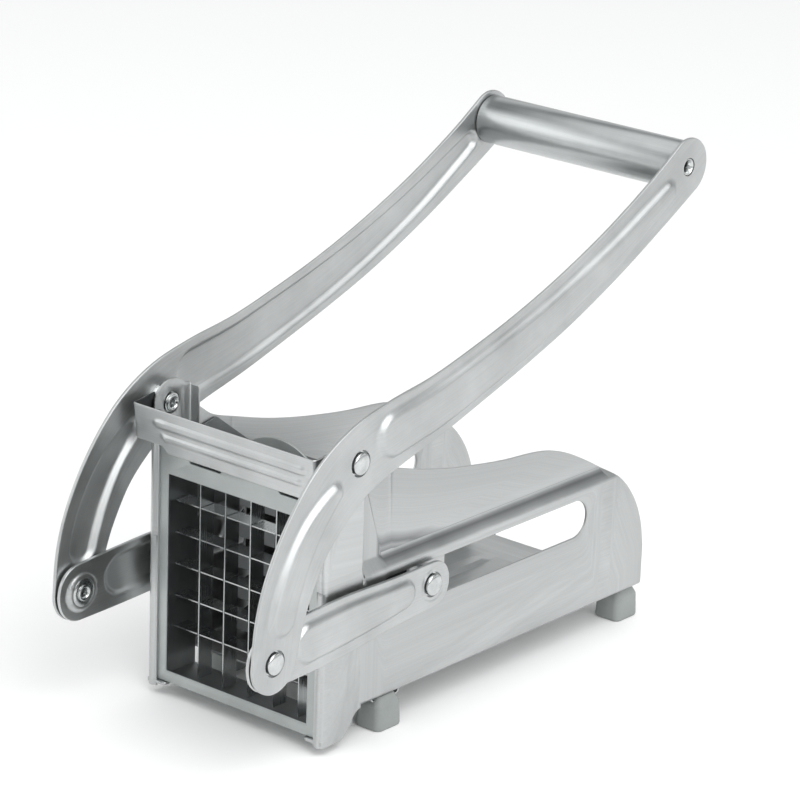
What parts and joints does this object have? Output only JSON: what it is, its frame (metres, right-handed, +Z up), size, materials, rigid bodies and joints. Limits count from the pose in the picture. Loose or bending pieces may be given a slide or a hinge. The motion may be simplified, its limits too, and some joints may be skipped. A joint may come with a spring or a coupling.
{
  "type": "vegetable dicer",
  "caption": "Hand lever vegetable dicer: a linkage drives a studded pusher along a steel trough towards a lift-out grid of crossed blades, on rubber feet.",
  "frame": {"origin": "centre of the object's box on the surface that the feet stand on", "axes": "+Y from the blades to the rear, +X to the right hand seen from the blades' side looking rearwards, +Z up"},
  "size_m": [0.1072, 0.2631, 0.2035],
  "materials": {
    "brushed_stainless": "satin brushed stainless sheet, pressed beads",
    "blade_steel": "ground blade strip",
    "cassette_steel": "darker satin steel",
    "rivet_steel": "bright domed rivets and pins",
    "black_plastic": "moulded black plastic",
    "grey_rubber": "soft grey rubber"
  },
  "bodies": {
    "root": {"trough": "brushed_stainless", "front_frame": "brushed_stainless", "cassette_guide_left": "brushed_stainless", "cassette_guide_right": "brushed_stainless", "pivot_rivet_left": "rivet_steel", "pivot_rivet_right": "rivet_steel", "pivot_spacer_left": "rivet_steel", "pivot_spacer_right": "rivet_steel", "foot_front_left": "grey_rubber", "foot_front_right": "grey_rubber", "foot_rear_left": "grey_rubber", "foot_rear_right": "grey_rubber"},
    "cassette": {"blade_frame": "cassette_steel", "vertical_blade_1": "blade_steel", "vertical_blade_2": "blade_steel", "vertical_blade_3": "blade_steel", "vertical_blade_4": "blade_steel", "vertical_blade_5": "blade_steel", "horizontal_blade_1": "blade_steel", "horizontal_blade_2": "blade_steel", "horizontal_blade_3": "blade_steel", "horizontal_blade_4": "blade_steel", "horizontal_blade_5": "blade_steel"},
    "pusher": {"pusher_block": "black_plastic", "pusher_carriage": "brushed_stainless", "pusher_pin_left": "rivet_steel", "pusher_pin_right": "rivet_steel", "pusher_screw_1": "rivet_steel", "pusher_screw_2": "rivet_steel", "pusher_screw_3": "rivet_steel", "pusher_screw_4": "rivet_steel"},
    "lever": {"lever_arm_left": "brushed_stainless", "lever_arm_right": "brushed_stainless", "lower_rivet_left": "rivet_steel", "lower_rivet_right": "rivet_steel", "handle_tube": "brushed_stainless", "handle_tie_rod": "rivet_steel", "handle_plug_left": "black_plastic", "handle_plug_right": "black_plastic"},
    "links": {"link_left": "brushed_stainless", "link_right": "brushed_stainless", "link_rivet_left": "rivet_steel", "link_rivet_right": "rivet_steel"}
  },
  "joints": [
    {"name": "lever_hinge", "type": "hinge", "parent": "root", "child": "lever", "pos_m": [0, -0.0748, 0.1165], "axis": [1, 0, 0], "range_deg": [-10, 70]},
    {"name": "link_hinge", "type": "hinge", "parent": "lever", "child": "links", "pos_m": [0, -0.1195, 0.0506], "axis": [1, 0, 0], "range_deg": [-72, 12]},
    {"name": "pusher_slide", "type": "slide", "parent": "root", "child": "pusher", "axis": [0, 1, 0], "range_m": [-0.0135, 0.0912]},
    {"name": "cassette_lift", "type": "slide", "parent": "root", "child": "cassette", "axis": [0, 0, 1], "range_m": [0, 0.12]}
  ],
  "couplings": [
    {"joint": "link_hinge", "follows": "lever_hinge", "ratio": -1},
    {"joint": "pusher_slide", "follows": "lever_hinge", "m_per_rad": 0.0739}
  ]
}
